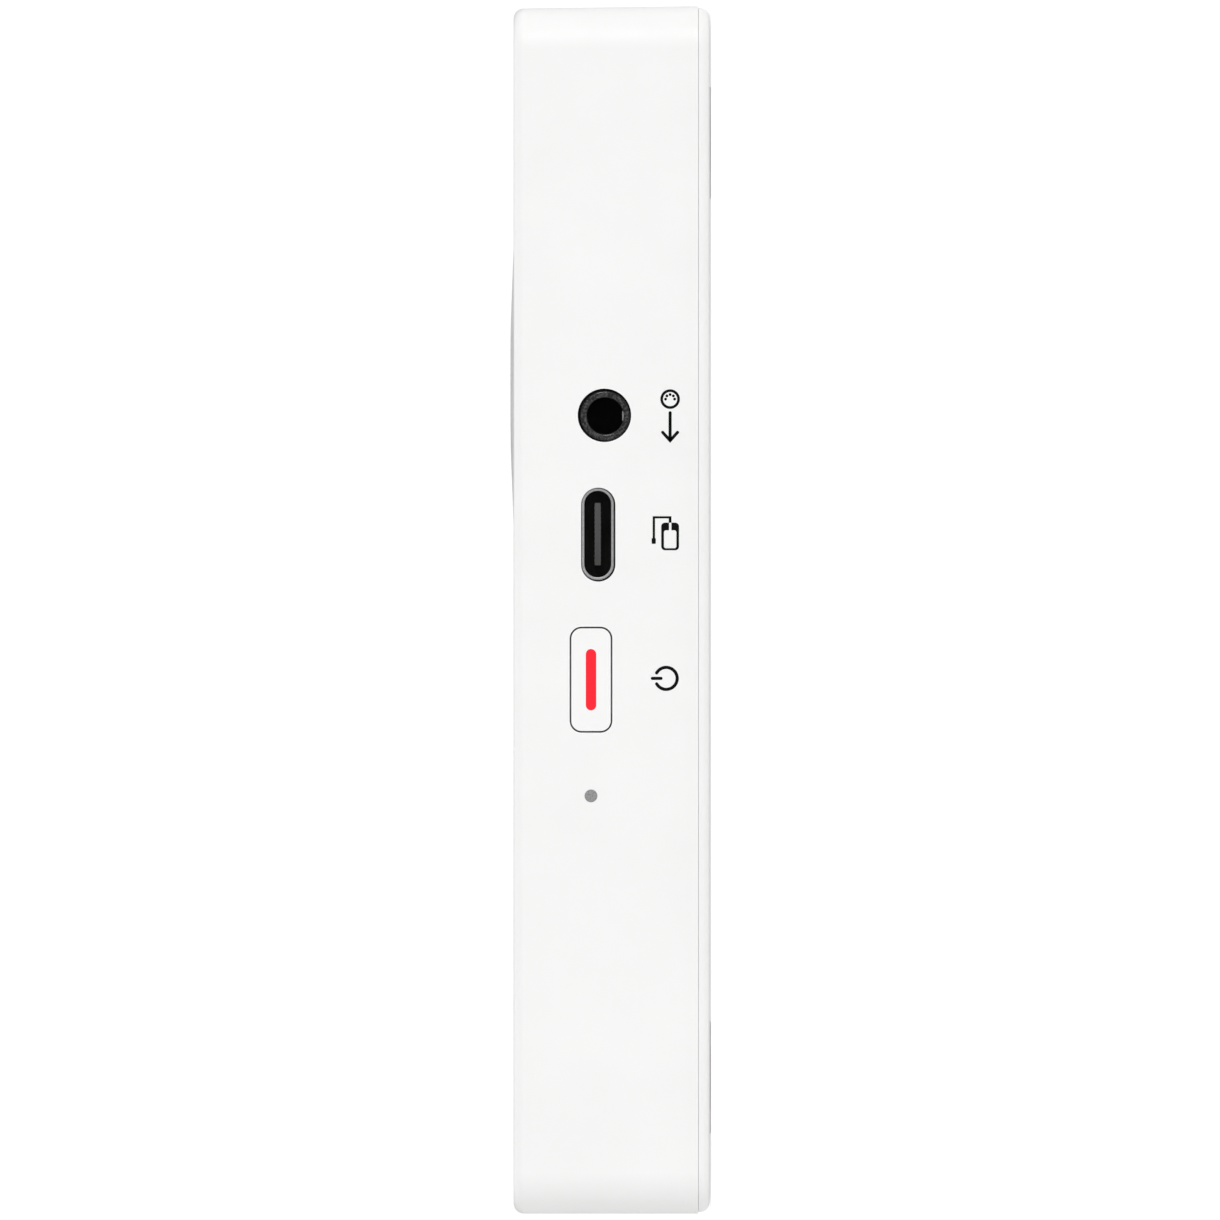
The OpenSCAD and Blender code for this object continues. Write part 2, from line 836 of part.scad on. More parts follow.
module usb_c_core() {
    inner = usb_size - [2, 2] * (usb_wall + usb_core_fit);
    x_back = x_left + usb_sink + usb_length - usb_core_t;
    color([0.2, 0.2, 0.2]) {
        from_left(x_back, socket_y, socket_z, usb_core_t) round_slot(inner);
        span([x_back - tongue.x, socket_y - tongue.y / 2, socket_z - tongue.z / 2],
            [x_back + eps, socket_y + tongue.y / 2, socket_z + tongue.z / 2]);
    }
}

module midi_jack_body() {
    slot = jack_leaf_t + jack_slot_play;
    nose_face = x_left + jack_sink;
    low = jack_axis_z - jack_body.z / 2;
    color([0.15, 0.15, 0.15]) difference() {
        union() {
            span([jack_face, jack_axis_y - jack_body.y / 2, low],
                [jack_rear, jack_axis_y + jack_body.y / 2, low + jack_body.z]);
            from_left(nose_face, jack_axis_y, jack_axis_z, jack_face - nose_face + eps)
                circle(d = jack_nose_d);
        }
        from_left(nose_face - through, jack_axis_y, jack_axis_z, jack_depth + through)
            circle(d = jack_bore_d);
        for (leaf = JACK_LEAVES)
            span([leaf[0] - jack_slot_play, jack_axis_y + leaf[1] - slot / 2, low - through],
                [leaf[0] + leaf[2] + jack_slot_play, jack_axis_y + leaf[1] + slot / 2,
                    jack_axis_z + jack_leaf_h + jack_slot_play]);
    }
}

module midi_jack_contacts() {
    low = jack_axis_z - jack_body.z / 2 - jack_leg;
    color("gold") for (leaf = JACK_LEAVES)
        span([leaf[0], jack_axis_y + leaf[1] - jack_leaf_t / 2, low],
            [leaf[0] + leaf[2], jack_axis_y + leaf[1] + jack_leaf_t / 2, jack_axis_z + jack_leaf_h]);
}

module power_switch() {
    body = [3.4, 6.5, 4];
    plunger = [1, power_stem_size.x, power_stem_size.y];
    x = power_back + power_stem + power_travel + switch_play;
    color("gray") {
        span([x + plunger.x, power_y - body.y / 2, z_main_top],
            [x + plunger.x + body.x, power_y + body.y / 2, z_main_top + body.z]);
        span([x, power_y - plunger.y / 2, power_z - plunger.z / 2],
            [x + plunger.x + eps, power_y + plunger.y / 2, power_z + plunger.z / 2]);
    }
}

module status_led() {
    size = [1.6, 1.6, 0.7];
    color("ivory") span([led_bend - size.x / 2, led_y - size.y / 2, z_main_top],
        [led_bend + size.x / 2, led_y + size.y / 2, z_main_top + size.z]);
}

module led_light_pipe() {
    post = 1.8;
    gap = 0.9;
    color("lightgray") {
        from_left(x_left, led_y, led_z, led_bend - x_left) circle(d = led_d);
        span([led_bend - post / 2, led_y - post / 2, z_main_top + gap],
            [led_bend + post / 2, led_y + post / 2, led_z + post / 2]);
    }
}

module panel_board() {
    color("seagreen") difference() {
        union() {
            span([panel_left, panel_front, z_panel], [panel_wide, panel_rear, z_panel_top]);
            span([main_right, panel_split, z_panel], [panel_right, panel_rear, z_panel_top]);
        }
        at_panel_posts() translate([0, 0, z_panel - through])
            cylinder(d = board_hole_d, h = panel_t + 2 * through);
    }
}

module panel_switches() {
    size = [4, 4];
    height = button_low - button_travel - switch_play - z_panel_top;
    color("dimgray") for (b = BUTTONS)
        translate([b[1], b[2], z_panel_top]) linear_extrude(height) square(size, center = true);
}

module at_lights() {
    for (i = [0:light_count - 1])
        translate([pad_x + (i - (light_count - 1) / 2) * light_step, light_row, 0]) children();
}

module indicator_lights() {
    gap = 0.4;
    color("lightgray") at_lights() translate([0, 0, z_panel_top + gap])
        cylinder(d = light_d, h = z_top - z_panel_top - gap);
}

module pad_board() {
    tab_r = 3;
    overhang = 1.5;
    pin_play = 0.1;
    color("seagreen") difference() {
        union() {
            translate([pad_x, pad_y, z_pad_board]) cylinder(d = pad_d + 2 * overhang, h = pad_board_t);
            at_pad_posts() translate([0, 0, z_pad_board]) cylinder(r = tab_r, h = pad_board_t);
        }
        at_pad_posts() translate([0, 0, z_pad_board - through])
            cylinder(d = pad_pin_d + 2 * pin_play, h = pad_board_t + 2 * through);
    }
}

module pad_ring() {
    height = pad_low - pad_travel - switch_play - z_pad_board - pad_board_t;
    color("gainsboro") translate([pad_x, pad_y, z_pad_board + pad_board_t]) difference() {
        cylinder(r = pad_ring_r + pad_ring_w, h = height);
        translate([0, 0, -through]) cylinder(r = pad_ring_r, h = height + 2 * through);
    }
}

module flat_cables() {
    t = 0.3;
    key_cable_w = 6;
    panel_cable_w = 12;
    panel_cable_setback = 32;
    key_cable_front = 2;
    start_inset = 8;
    bend_gap = 1.6;
    overlap = 0.8;
    panel_cable_y = y_rear - panel_cable_setback;
    start_x = main_right - start_inset;
    drop_x = x_keys - well_gap - cheek_t - bend_gap;
    end_x = contact_left + overlap;
    color("white") {
        translate([0, y_dome - key_cable_front, 0]) rotate([90, 0, 0]) linear_extrude(key_cable_w) polygon([
            [start_x, z_main_top],
            [drop_x, z_main_top],
            [drop_x, z_contact_top],
            [end_x, z_contact_top],
            [end_x, z_contact_top + t],
            [drop_x + t, z_contact_top + t],
            [drop_x + t, z_main_top + t],
            [start_x, z_main_top + t],
        ]);
        span([battery_x, panel_cable_y, z_main_top],
            [battery_x + t, panel_cable_y + panel_cable_w, z_panel]);
    }
}

// ---- Moving controls ----

module power_button() {
    color("white") difference() {
        union() {
            from_left(x_left, power_y, power_z, power_inside - x_left + eps) round_rect(power_size, power_r);
            from_left(power_inside, power_y, power_z, power_flange_t)
                round_rect(power_size + [2, 2] * power_flange, power_r);
            from_left(power_back - eps, power_y, power_z, power_stem + eps)
                square(power_stem_size, center = true);
        }
        from_left(x_left - through, power_y, power_z, bar_t + through) round_slot(bar_size);
    }
}

module power_button_bar() {
    color("red") from_left(x_left, power_y, power_z, bar_t) round_slot(bar_size);
}

module touch_pad() {
    color("white") translate([pad_x, pad_y, 0]) {
        translate([0, 0, z_top - eps]) cylinder(d1 = pad_d, d2 = pad_flat_d, h = pad_rise + eps);
        translate([0, 0, pad_low]) cylinder(d = pad_d, h = z_top - pad_low);
        translate([0, 0, pad_low]) cylinder(d = pad_d + 2 * pad_flange, h = pad_flange_t);
    }
}

// A deck button: cap through the deck, with a flange that holds it in
module deck_cap(b) {
    color("white") translate([b[1], b[2], button_low]) {
        linear_extrude(z_top - button_low) round_rect(b[3], button_r);
        linear_extrude(button_flange_t) round_rect(b[3] + [2, 2] * button_flange, button_r);
    }
}

top_shell();
bottom_cover();
rubber_feet();
case_screws();
key_frame();
hinge_rod();
stop_felts();
contact_board();
dome_strip();
main_board();
battery();
battery_tape();
board_screws();
usb_c_shell();
usb_c_core();
midi_jack_body();
midi_jack_contacts();
power_switch();
status_led();
led_light_pipe();
panel_board();
panel_switches();
indicator_lights();
pad_board();
pad_ring();
flat_cables();
power_button();
power_button_bar();
touch_pad();
for (b = BUTTONS) deck_cap(b);
for (s = [0:key_count - 1]) key(s);
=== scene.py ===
"""Looks of a slim white MIDI keyboard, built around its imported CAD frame.

Metres, in the CAD's frame: +X right, +Y rear, +Z up.
"""

import json
import math

import bmesh
import bpy
from mathutils import Matrix, Vector


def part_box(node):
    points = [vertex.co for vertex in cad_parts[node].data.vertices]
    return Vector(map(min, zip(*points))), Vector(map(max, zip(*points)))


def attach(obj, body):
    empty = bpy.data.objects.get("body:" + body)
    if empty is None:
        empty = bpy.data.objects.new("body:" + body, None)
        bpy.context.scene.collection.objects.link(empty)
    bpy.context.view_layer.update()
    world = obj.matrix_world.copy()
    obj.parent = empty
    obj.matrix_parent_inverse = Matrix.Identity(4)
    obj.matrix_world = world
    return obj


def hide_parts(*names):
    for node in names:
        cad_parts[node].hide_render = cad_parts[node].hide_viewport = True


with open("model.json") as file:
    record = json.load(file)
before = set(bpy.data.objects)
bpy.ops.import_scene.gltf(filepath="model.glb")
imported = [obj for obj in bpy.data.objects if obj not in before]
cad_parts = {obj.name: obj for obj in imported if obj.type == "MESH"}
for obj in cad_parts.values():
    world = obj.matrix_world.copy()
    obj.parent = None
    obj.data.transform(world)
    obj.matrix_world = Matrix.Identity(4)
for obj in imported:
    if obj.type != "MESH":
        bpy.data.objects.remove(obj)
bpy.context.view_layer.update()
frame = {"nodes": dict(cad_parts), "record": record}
NODES = frame["nodes"]
MOUNTS = {m["name"]: m for m in frame["record"]["mounts"]}
MM = 0.001
SHELL_LOW, SHELL_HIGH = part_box("top_shell")
PANEL_X = SHELL_LOW.x
FRONT_Y = SHELL_LOW.y
DECK_Z = SHELL_HIGH.z
UNDER_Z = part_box("bottom_cover")[0].z


# ---- Camera: square on to the left side panel, the front of the keyboard at the top of the picture ----

# Height of the picture at the panel, and how far above the underside its middle lies
VIEW_HEIGHT = 118.12 * MM
VIEW_MIDDLE = 9.66 * MM
VIEW_DISTANCE = 4.0
SENSOR = 36.0
NEAR_CLIP = 0.05
FAR_CLIP = 60.0
AIM = Vector((PANEL_X, 0.0, UNDER_Z + VIEW_MIDDLE))


def make_camera():
    data = bpy.data.cameras.new("camera")
    data.sensor_width = SENSOR
    data.lens = SENSOR * VIEW_DISTANCE / VIEW_HEIGHT
    data.clip_start = NEAR_CLIP
    data.clip_end = FAR_CLIP
    camera = bpy.data.objects.new("camera", data)
    picture_right = Vector((0, 0, -1))
    picture_up = Vector((0, -1, 0))
    back = picture_right.cross(picture_up)
    turn = Matrix((picture_right, picture_up, back)).transposed()
    camera.matrix_world = Matrix.Translation(AIM + back * VIEW_DISTANCE) @ turn.to_4x4()
    bpy.context.scene.collection.objects.link(camera)
    bpy.context.scene.camera = camera


# ---- Stage: white surroundings, two broad lights and a pale floor ----

# Each light: the direction it comes from, its strength and its width in degrees
FRONT_LIGHT = ((-0.75, -0.62, 0.1), 0.57, 14)
TOP_LIGHT = ((0.35, 0.2, 0.93), 0.5, 50)
# The room seen by the keyboard, from its dim side to its bright side; the camera sees even white
BRIGHT_SIDE = Vector((-0.65, -0.7, -0.1))
ROOM_DIM = 0.66
ROOM_BRIGHT = 0.95
BACKDROP = 1.05
# The floor's own light, towards the camera and towards the keyboard
FLOOR_GLOW = 0.4
FLOOR_BOUNCE = 0.3
FLOOR_GREY = 0.76
FLOOR_HALF = 8.0
FLOOR_CELLS = 16
# A dark card behind the keyboard, opposite the photographed panel, draws its outline
CARD_SIDE = Vector((1, 0, 0.1))
CARD_START = 0.62
CARD_END = 0.86
CARD_LEFT = 0.12


def soft_sun(name, toward, strength, spread):
    """A broad, even light from the direction toward; spread is its width in degrees."""
    data = bpy.data.lights.new(name, "SUN")
    data.energy = strength
    data.angle = math.radians(spread)
    light = bpy.data.objects.new(name, data)
    light.rotation_euler = Vector(toward).to_track_quat("Z", "Y").to_euler()
    bpy.context.scene.collection.objects.link(light)


def make_world():
    """Even white to the camera; to the keyboard, a pale room, brightest in front and to the left."""
    world = bpy.data.worlds.new("studio")
    bpy.context.scene.world = world
    world.use_nodes = True
    tree = world.node_tree
    tree.nodes.clear()
    out = tree.nodes.new("ShaderNodeOutputWorld")
    mix = tree.nodes.new("ShaderNodeMixShader")
    path = tree.nodes.new("ShaderNodeLightPath")
    seen = tree.nodes.new("ShaderNodeBackground")
    seen.inputs["Color"].default_value = (1, 1, 1, 1)
    seen.inputs["Strength"].default_value = BACKDROP
    room = tree.nodes.new("ShaderNodeBackground")
    room.inputs["Color"].default_value = (1, 1, 1, 1)
    place = tree.nodes.new("ShaderNodeTexCoord")
    facing = tree.nodes.new("ShaderNodeVectorMath")
    facing.operation = "DOT_PRODUCT"
    facing.inputs[1].default_value = BRIGHT_SIDE.normalized()
    tree.links.new(place.outputs["Generated"], facing.inputs[0])
    strength = add_range(tree, facing.outputs["Value"], ROOM_DIM, ROOM_BRIGHT, -1, 1)
    card = tree.nodes.new("ShaderNodeVectorMath")
    card.operation = "DOT_PRODUCT"
    card.inputs[1].default_value = CARD_SIDE.normalized()
    tree.links.new(place.outputs["Generated"], card.inputs[0])
    shade = tree.nodes.new("ShaderNodeMath")
    shade.operation = "MULTIPLY"
    tree.links.new(strength, shade.inputs[0])
    dimmed = add_range(tree, card.outputs["Value"], 1, CARD_LEFT, CARD_START, CARD_END)
    tree.links.new(dimmed, shade.inputs[1])
    tree.links.new(shade.outputs["Value"], room.inputs["Strength"])
    tree.links.new(path.outputs["Is Camera Ray"], mix.inputs["Fac"])
    tree.links.new(room.outputs["Background"], mix.inputs[1])
    tree.links.new(seen.outputs["Background"], mix.inputs[2])
    tree.links.new(mix.outputs["Shader"], out.inputs["Surface"])


def make_floor():
    """A pale matt floor, near white, with the keyboard's soft contact shadow."""
    bm = bmesh.new()
    bmesh.ops.create_grid(bm, x_segments=FLOOR_CELLS, y_segments=FLOOR_CELLS, size=FLOOR_HALF)
    mesh = bpy.data.meshes.new("floor")
    bm.to_mesh(mesh)
    bm.free()
    floor = bpy.data.objects.new("floor", mesh)
    bpy.context.scene.collection.objects.link(floor)
    mat = bpy.data.materials.new("pale_floor")
    mat.use_nodes = True
    tree = mat.node_tree
    shader = tree.nodes["Principled BSDF"]
    shader.inputs["Base Color"].default_value = (FLOOR_GREY, FLOOR_GREY, FLOOR_GREY, 1)
    shader.inputs["Roughness"].default_value = 0.8
    shader.inputs["Specular IOR Level"].default_value = 0.1
    shader.inputs["Emission Color"].default_value = (1, 1, 1, 1)
    path = tree.nodes.new("ShaderNodeLightPath")
    tree.links.new(add_range(tree, path.outputs["Is Camera Ray"], FLOOR_BOUNCE, FLOOR_GLOW, 0, 1),
                   shader.inputs["Emission Strength"])
    mesh.materials.append(mat)


def make_stage():
    view = bpy.context.scene.view_settings
    view.view_transform = "Standard"
    view.look = "None"
    make_world()
    make_floor()
    soft_sun("front_light", *FRONT_LIGHT)
    soft_sun("top_light", *TOP_LIGHT)


# ---- Materials ----

# How far from an edge its polish reaches
EDGE_REACH = 0.3 * MM


def new_material(name):
    """A node material, with what its recipes need at hand."""
    mat = bpy.data.materials.new(name)
    mat.use_nodes = True
    tree = mat.node_tree
    shader = tree.nodes["Principled BSDF"]
    place = tree.nodes.new("ShaderNodeTexCoord")
    return mat, tree, shader, place.outputs["Object"]


def add_noise(tree, place, size, detail=2.0, stretch=(1, 1, 1)):
    """Noise whose cells are about size metres across, stretched along the axes with a small factor."""
    scale = tree.nodes.new("ShaderNodeMapping")
    scale.inputs["Scale"].default_value = [s / size for s in stretch]
    noise = tree.nodes.new("ShaderNodeTexNoise")
    noise.inputs["Scale"].default_value = 1.0
    noise.inputs["Detail"].default_value = detail
    tree.links.new(place, scale.inputs["Vector"])
    tree.links.new(scale.outputs["Vector"], noise.inputs["Vector"])
    return noise.outputs["Fac"]


def add_range(tree, value, low, high, start=0.3, end=0.7):
    """value, from start to end, carried over to low to high."""
    node = tree.nodes.new("ShaderNodeMapRange")
    node.inputs["From Min"].default_value = start
    node.inputs["From Max"].default_value = end
    node.inputs["To Min"].default_value = low
    node.inputs["To Max"].default_value = high
    tree.links.new(value, node.inputs["Value"])
    return node.outputs["Result"]


def add_mix(tree, factor, first, second):
    """A colour from first to second; each is a colour or a socket."""
    node = tree.nodes.new("ShaderNodeMix")
    node.data_type = "RGBA"
    tree.links.new(factor, node.inputs["Factor"])
    for key, value in (("A", first), ("B", second)):
        socket = [s for s in node.inputs if s.name == key and s.type == "RGBA"][0]
        if isinstance(value, bpy.types.NodeSocket):
            tree.links.new(value, socket)
        else:
            socket.default_value = (*value, 1)
    return [s for s in node.outputs if s.type == "RGBA"][0]


def add_bumps(tree, shader, layers):
    """Chains bumps into the shader: each layer is a height socket and its depth in metres."""
    below = None
    for height, depth in layers:
        bump = tree.nodes.new("ShaderNodeBump")
        bump.inputs["Strength"].default_value = 1.0
        bump.inputs["Distance"].default_value = depth
        tree.links.new(height, bump.inputs["Height"])
        if below is not None:
            tree.links.new(below, bump.inputs["Normal"])
        below = bump.outputs["Normal"]
    tree.links.new(below, shader.inputs["Normal"])


def edge_factor(tree):
    """0 on flat stretches, 1 along edges, where handling polishes the surface."""
    shape = tree.nodes.new("ShaderNodeNewGeometry")
    soft = tree.nodes.new("ShaderNodeBevel")
    soft.samples = 3
    soft.inputs["Radius"].default_value = EDGE_REACH
    compare = tree.nodes.new("ShaderNodeVectorMath")
    compare.operation = "DOT_PRODUCT"
    tree.links.new(shape.outputs["Normal"], compare.inputs[0])
    tree.links.new(soft.outputs["Normal"], compare.inputs[1])
    return add_range(tree, compare.outputs["Value"], 1.0, 0.0, 0.93, 0.995)


def moulded(name, color, rough, grain=0.16 * MM, depth=0.004 * MM, mottle=0.012, edge=1.03, gloss=0.5):
    """Moulded plastic: spark-eroded grain, faint flow mottling and slightly polished edges."""
    cloud_size, patch_size, wave_size, wave_depth, spread = 9 * MM, 3.5 * MM, 14 * MM, 0.02 * MM, 0.06
    mat, tree, shader, place = new_material(name)
    cloud = add_noise(tree, place, cloud_size, 4)
    dark = [c * (1 - mottle) for c in color]
    light = [min(1, c * (1 + mottle)) for c in color]
    body = add_mix(tree, add_range(tree, cloud, 0, 1), dark, light)
    worn = [min(1, c * edge + 0.004) for c in color]
    handled = edge_factor(tree)
    tree.links.new(add_mix(tree, handled, body, worn), shader.inputs["Base Color"])
    patch = add_noise(tree, place, patch_size, 5)
    tree.links.new(add_range(tree, patch, rough - spread, rough + spread), shader.inputs["Roughness"])
    shader.inputs["Specular IOR Level"].default_value = gloss
    fine = add_noise(tree, place, grain, 2)
    broad = add_noise(tree, place, wave_size, 1)
    add_bumps(tree, shader, [(broad, wave_depth), (fine, depth)])
    return mat


def turned(name, color, rough):
    """Hard black plastic with a speckled, freshly cut face."""
    mat, tree, shader, place = new_material(name)
    speck = add_noise(tree, place, 0.24 * MM, 3)
    dark, pale = [c * 0.1 for c in color], [c * 5.5 for c in color]
    tree.links.new(add_mix(tree, add_range(tree, speck, 0, 1, 0.42, 0.66), dark, pale),
                   shader.inputs["Base Color"])
    tree.links.new(add_range(tree, speck, rough + 0.06, rough - 0.04), shader.inputs["Roughness"])
    shader.inputs["Specular IOR Level"].default_value = 0.3
    add_bumps(tree, shader, [(speck, 0.014 * MM)])
    return mat


def glossy(name, color, rough):
    """Polished plastic: a coat with hairline handling marks that run along the keys."""
    along_keys = (1, 0.02, 1)
    mat, tree, shader, place = new_material(name)
    cloud = add_noise(tree, place, 12 * MM, 3)
    body = add_mix(tree, add_range(tree, cloud, 0, 1), [c * 0.985 for c in color], color)
    worn = [min(1, c * 1.04) for c in color]
    tree.links.new(add_mix(tree, edge_factor(tree), body, worn), shader.inputs["Base Color"])
    hair = add_noise(tree, place, 0.12 * MM, 3, along_keys)
    smear = add_noise(tree, place, 9 * MM, 2)
    blend = tree.nodes.new("ShaderNodeMath")
    blend.operation = "MULTIPLY"
    tree.links.new(hair, blend.inputs[0])
    tree.links.new(smear, blend.inputs[1])
    tree.links.new(add_range(tree, blend.outputs["Value"], rough - 0.03, rough + 0.05, 0.15, 0.4),
                   shader.inputs["Roughness"])
    shader.inputs["Coat Weight"].default_value = 0.35
    shader.inputs["Coat Roughness"].default_value = 0.12
    shader.inputs["IOR"].default_value = 1.49
    add_bumps(tree, shader, [(smear, 0.006 * MM), (hair, 0.0003 * MM)])
    return mat


def metal(name, color, rough, stretch=(1, 0.04, 1), depth=0.001 * MM, grain=0.12 * MM, dark=0.86, pale=1.1):
    """Plated or ground metal with lines along one axis and dulled patches."""
    mat, tree, shader, place = new_material(name)
    shader.inputs["Metallic"].default_value = 1.0
    lines = add_noise(tree, place, grain, 4, stretch)
    low, high, worn = ([min(1, c * share) for c in color] for share in (dark, pale, 1.25))
    tint = add_mix(tree, add_range(tree, lines, 0, 1), low, high)
    tree.links.new(add_mix(tree, edge_factor(tree), tint, worn), shader.inputs["Base Color"])
    patch = add_noise(tree, place, 1.6 * MM, 4)
    tree.links.new(add_range(tree, patch, rough - 0.08, rough + 0.12), shader.inputs["Roughness"])
    add_bumps(tree, shader, [(lines, depth)])
    return mat


def rubber(name, color, rough=0.75, grain=0.3 * MM, depth=0.02 * MM):
    """Matt rubber or silicone: soft grain and a dusty bloom."""
    mat, tree, shader, place = new_material(name)
    dust = add_noise(tree, place, 2.5 * MM, 5)
    pale = [min(1, c * 1.35 + 0.01) for c in color]
    tree.links.new(add_mix(tree, add_range(tree, dust, 0, 0.6, 0.45, 0.75), color, pale),
                   shader.inputs["Base Color"])
    tree.links.new(add_range(tree, dust, rough - 0.08, rough + 0.1), shader.inputs["Roughness"])
    shader.inputs["Sheen Weight"].default_value = 0.15
    add_bumps(tree, shader, [(add_noise(tree, place, grain, 3), depth)])
    return mat


def felt(name, color):
    """Pressed wool felt: tangled fibres and sheen."""
    mat, tree, shader, place = new_material(name)
    fibre = add_noise(tree, place, 0.35 * MM, 6, (1, 0.3, 1))
    deep, pale = [c * 0.6 for c in color], [c * 1.5 for c in color]
    tree.links.new(add_mix(tree, add_range(tree, fibre, 0, 1), deep, pale), shader.inputs["Base Color"])
    tree.links.new(add_range(tree, fibre, 0.85, 1.0), shader.inputs["Roughness"])
    shader.inputs["Sheen Weight"].default_value = 0.5
    add_bumps(tree, shader, [(fibre, 0.15 * MM)])
    return mat


def circuit_board(name, color):
    """Solder mask over copper: lighter tracks where copper lies under the lacquer."""
    mat, tree, shader, place = new_material(name)
    scale = tree.nodes.new("ShaderNodeMapping")
    scale.inputs["Scale"].default_value = (220, 220, 0)
    tracks = tree.nodes.new("ShaderNodeTexBrick")
    tracks.inputs["Scale"].default_value = 1.0
    tracks.inputs["Mortar Size"].default_value = 0.06
    tracks.inputs["Color1"].default_value = (0, 0, 0, 1)
    tracks.inputs["Color2"].default_value = (0.25, 0.25, 0.25, 1)
    tracks.inputs["Mortar"].default_value = (1, 1, 1, 1)
    tree.links.new(place, scale.inputs["Vector"])
    tree.links.new(scale.outputs["Vector"], tracks.inputs["Vector"])
    lacquer = add_noise(tree, place, 4 * MM, 3)
    copper = [c * 1.8 + 0.01 for c in color]
    base = add_mix(tree, tracks.outputs["Color"], color, copper)
    tree.links.new(add_mix(tree, add_range(tree, lacquer, 0, 0.35), base, [c * 0.7 for c in color]),
                   shader.inputs["Base Color"])
    tree.links.new(add_range(tree, lacquer, 0.22, 0.4), shader.inputs["Roughness"])
    add_bumps(tree, shader, [(tracks.outputs["Color"], 0.02 * MM)])
    return mat


def foil(name, color):
    """Aluminium pouch with soft creases."""
    mat, tree, shader, place = new_material(name)
    shader.inputs["Metallic"].default_value = 0.9
    crease = add_noise(tree, place, 7 * MM, 5)
    tree.links.new(add_mix(tree, add_range(tree, crease, 0, 1), [c * 0.8 for c in color], color),
                   shader.inputs["Base Color"])
    tree.links.new(add_range(tree, crease, 0.28, 0.45), shader.inputs["Roughness"])
    add_bumps(tree, shader, [(crease, 0.3 * MM)])
    return mat


def lens(name, color, rough):
    """Smoked light pipe: frosted, a little translucent."""
    mat, tree, shader, place = new_material(name)
    frost = add_noise(tree, place, 0.2 * MM, 3)
    tree.links.new(add_mix(tree, add_range(tree, frost, 0, 1), [c * 0.93 for c in color], color),
                   shader.inputs["Base Color"])
    tree.links.new(add_range(tree, frost, rough - 0.05, rough + 0.08), shader.inputs["Roughness"])
    shader.inputs["Transmission Weight"].default_value = 0.15
    shader.inputs["IOR"].default_value = 1.49
    add_bumps(tree, shader, [(frost, 0.002 * MM)])
    return mat


def ink(name, color):
    """Pad-printed ink: thin, slightly uneven cover."""
    mat, tree, shader, place = new_material(name)
    cover = add_noise(tree, place, 0.08 * MM, 3)
    tree.links.new(add_mix(tree, add_range(tree, cover, 0, 1), color, [c + 0.004 for c in color]),
                   shader.inputs["Base Color"])
    tree.links.new(add_range(tree, cover, 0.6, 0.75), shader.inputs["Roughness"])
    shader.inputs["Specular IOR Level"].default_value = 0.06
    add_bumps(tree, shader, [(cover, 0.002 * MM)])
    return mat


def make_materials():
    """One material for each of the record's slots, and the inks."""
    white = (0.86, 0.86, 0.855)
    return {
        "case_white": moulded("case_white", white, 0.42),
        "button_white": moulded("button_white", (0.87, 0.87, 0.865), 0.38),
        "pad_white": moulded("pad_white", (0.83, 0.83, 0.83), 0.34, depth=0.002 * MM),
        "key_white": glossy("key_white", (0.88, 0.88, 0.87), 0.2),
        "key_black": moulded("key_black", (0.018, 0.018, 0.02), 0.36, edge=1.6),
        "bar_red": moulded("bar_red", (0.96, 0.006, 0.022), 0.4, gloss=0.3),
        "foot_rubber": rubber("foot_rubber", (0.74, 0.74, 0.735)),
        "silicone": rubber("silicone", (0.62, 0.62, 0.6), 0.5),
        "screw_steel": metal("screw_steel", (0.55, 0.55, 0.55), 0.3),
        "rod_steel": metal("rod_steel", (0.58, 0.58, 0.58), 0.22),
        "frame_grey": moulded("frame_grey", (0.06, 0.06, 0.064), 0.5, edge=1.3),
        "stop_felt": felt("stop_felt", (0.25, 0.02, 0.02)),
        "board_green": circuit_board("board_green", (0.012, 0.11, 0.04)),
        "battery_foil": foil("battery_foil", (0.6, 0.6, 0.62)),
        "foam_tape": rubber("foam_tape", (0.55, 0.4, 0.1), 0.8, 0.5 * MM, 0.05 * MM),
        "connector_steel": metal("connector_steel", (0.33, 0.33, 0.335), 0.34, (0.3, 1, 1), 0.01 * MM,
                                 0.15 * MM, 0.6, 1.35),
        "connector_black": moulded("connector_black", (0.005, 0.005, 0.005), 0.5, edge=2.0, gloss=0.25),
        "nose_black": turned("nose_black", (0.012, 0.012, 0.012), 0.2),
        "tongue_grey": moulded("tongue_grey", (0.055, 0.055, 0.057), 0.5, 0.3 * MM, 0.01 * MM, 0.3, 1.4),
        "contact_gold": metal("contact_gold", (0.7, 0.5, 0.2), 0.25),
        "switch_black": moulded("switch_black", (0.03, 0.03, 0.03), 0.45, edge=1.5),
        "led_white": moulded("led_white", (0.75, 0.72, 0.5), 0.3),
        "light_pipe": lens("light_pipe", (0.31, 0.31, 0.31), 0.28),
        "cable_white": glossy("cable_white", (0.7, 0.7, 0.68), 0.3),
        "black_ink": ink("black_ink", (0.002, 0.002, 0.002)),
        "grey_ink": ink("grey_ink", (0.16, 0.16, 0.16)),
    }


# ---- CAD nodes: rounded edges and materials ----

# Edge radius, in millimetres, of the nodes whose edges show
EDGE_RADII = {
    "top_shell": 0.05,
    "bottom_cover": 0.05,
    "power_button": 0.04,
    "midi_jack_body": 0.1,
    "usb_c_shell": 0.1,
    "usb_c_core": 0.06,
    "rubber_feet": 0.1,
    "led_light_pipe": 0.05,
    "power_button_bar": 0.04,
    "indicator_lights": 0.05,
}
KEY_EDGE = 0.45
BLACK_EDGE = 0.6
BUTTON_EDGE = 0.2
INNER_EDGE = 0.08
EDGE_SEGMENTS = 3
